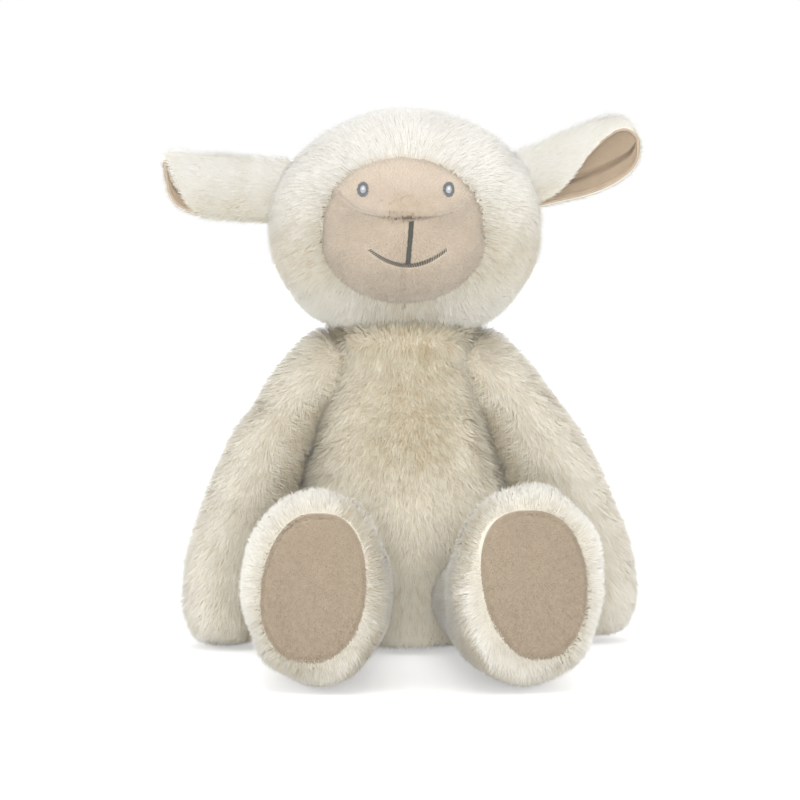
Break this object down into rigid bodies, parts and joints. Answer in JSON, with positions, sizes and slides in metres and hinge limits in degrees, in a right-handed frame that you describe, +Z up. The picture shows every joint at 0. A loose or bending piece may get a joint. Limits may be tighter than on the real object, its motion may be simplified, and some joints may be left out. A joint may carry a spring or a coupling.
{
  "type": "plush sheep",
  "caption": "Sitting plush sheep with a turning head, floppy ears, swinging arms, spreading legs and a small tail.",
  "frame": {"origin": "middle of the flat seat that the sheep sits on", "axes": "+Z up out of the seat through the head, -Y the way the face looks, +X to the right of someone facing it"},
  "size_m": [0.2299, 0.2121, 0.2505],
  "materials": {
    "cream_plush": "matte",
    "white_plush": "matte",
    "beige_velour": "matte",
    "grey_thread": "satin",
    "eye_thread": "satin",
    "cream_thread": "satin",
    "filling": "matte",
    "bag_cloth": "matte"
  },
  "bodies": {
    "body": {"body_skin": "cream_plush", "body_stuffing": "filling", "pellet_bag": "bag_cloth"},
    "neck": {"neck_seam": "cream_thread"},
    "head": {"head_skin": "white_plush", "head_stuffing": "filling", "face_forehead": "beige_velour", "face_muzzle_left": "beige_velour", "face_muzzle_right": "beige_velour", "eye_left": "eye_thread", "eye_right": "eye_thread", "nose_line": "grey_thread", "mouth_line": "grey_thread", "chin_tack": "cream_thread"},
    "ear_left": {"ear_left_plush": "white_plush", "ear_left_lining": "beige_velour"},
    "ear_right": {"ear_right_plush": "white_plush", "ear_right_lining": "beige_velour"},
    "shoulder_left": {"shoulder_left_seam": "cream_thread"},
    "arm_left": {"arm_left_skin": "cream_plush", "arm_left_stuffing": "filling"},
    "shoulder_right": {"shoulder_right_seam": "cream_thread"},
    "arm_right": {"arm_right_skin": "cream_plush", "arm_right_stuffing": "filling"},
    "hip_left": {"hip_left_seam": "cream_thread"},
    "leg_left": {"leg_left_skin": "cream_plush", "leg_left_sole": "beige_velour", "leg_left_stuffing": "filling"},
    "hip_right": {"hip_right_seam": "cream_thread"},
    "leg_right": {"leg_right_skin": "cream_plush", "leg_right_sole": "beige_velour", "leg_right_stuffing": "filling"},
    "tail": {"tail": "cream_plush"}
  },
  "joints": [
    {"name": "neck_turn", "type": "hinge", "parent": "body", "child": "neck", "pos_m": [0, 0, 0.124], "axis": [0, 0, 1], "range_deg": [-25, 25], "stiffness_Nm_per_rad": 0.08},
    {"name": "neck_nod", "type": "hinge", "parent": "neck", "child": "head", "pos_m": [0, 0, 0.124], "axis": [1, 0, 0], "range_deg": [-8, 10], "stiffness_Nm_per_rad": 0.6},
    {"name": "ear_left_flop", "type": "hinge", "parent": "head", "child": "ear_left", "pos_m": [-0.054, 0.002, 0.215], "axis": [0, 1, 0], "range_deg": [-15, 20], "stiffness_Nm_per_rad": 0.02},
    {"name": "ear_right_flop", "type": "hinge", "parent": "head", "child": "ear_right", "pos_m": [0.054, 0.002, 0.215], "axis": [0, -1, 0], "range_deg": [-30, 15], "stiffness_Nm_per_rad": 0.02},
    {"name": "arm_left_swing", "type": "hinge", "parent": "body", "child": "shoulder_left", "pos_m": [-0.034, 0, 0.13], "axis": [-1, 0, 0], "range_deg": [-15, 78], "stiffness_Nm_per_rad": 0.05},
    {"name": "arm_left_lift", "type": "hinge", "parent": "shoulder_left", "child": "arm_left", "pos_m": [-0.034, 0, 0.13], "axis": [0, 1, 0], "range_deg": [0, 36], "stiffness_Nm_per_rad": 0.05},
    {"name": "arm_right_swing", "type": "hinge", "parent": "body", "child": "shoulder_right", "pos_m": [0.034, 0, 0.13], "axis": [-1, 0, 0], "range_deg": [-12, 78], "stiffness_Nm_per_rad": 0.05},
    {"name": "arm_right_lift", "type": "hinge", "parent": "shoulder_right", "child": "arm_right", "pos_m": [0.034, 0, 0.13], "axis": [0, -1, 0], "range_deg": [0, 36], "stiffness_Nm_per_rad": 0.05},
    {"name": "hip_left_spread", "type": "hinge", "parent": "body", "child": "hip_left", "pos_m": [-0.033, -0.04, 0.027], "axis": [0, 0, -1], "range_deg": [-5, 15], "stiffness_Nm_per_rad": 0.06},
    {"name": "leg_left_swing", "type": "hinge", "parent": "hip_left", "child": "leg_left", "pos_m": [-0.033, -0.04, 0.027], "axis": [1, 0, 0], "range_deg": [-10, 55], "stiffness_Nm_per_rad": 0.3},
    {"name": "hip_right_spread", "type": "hinge", "parent": "body", "child": "hip_right", "pos_m": [0.033, -0.04, 0.027], "axis": [0, 0, 1], "range_deg": [-5, 15], "stiffness_Nm_per_rad": 0.06},
    {"name": "leg_right_swing", "type": "hinge", "parent": "hip_right", "child": "leg_right", "pos_m": [0.033, -0.04, 0.027], "axis": [1, 0, 0], "range_deg": [-10, 55], "stiffness_Nm_per_rad": 0.3},
    {"name": "tail_wag", "type": "hinge", "parent": "body", "child": "tail", "pos_m": [0, 0.048, 0.034], "axis": [0, 1, 0], "range_deg": [-25, 25], "stiffness_Nm_per_rad": 0.01}
  ]
}
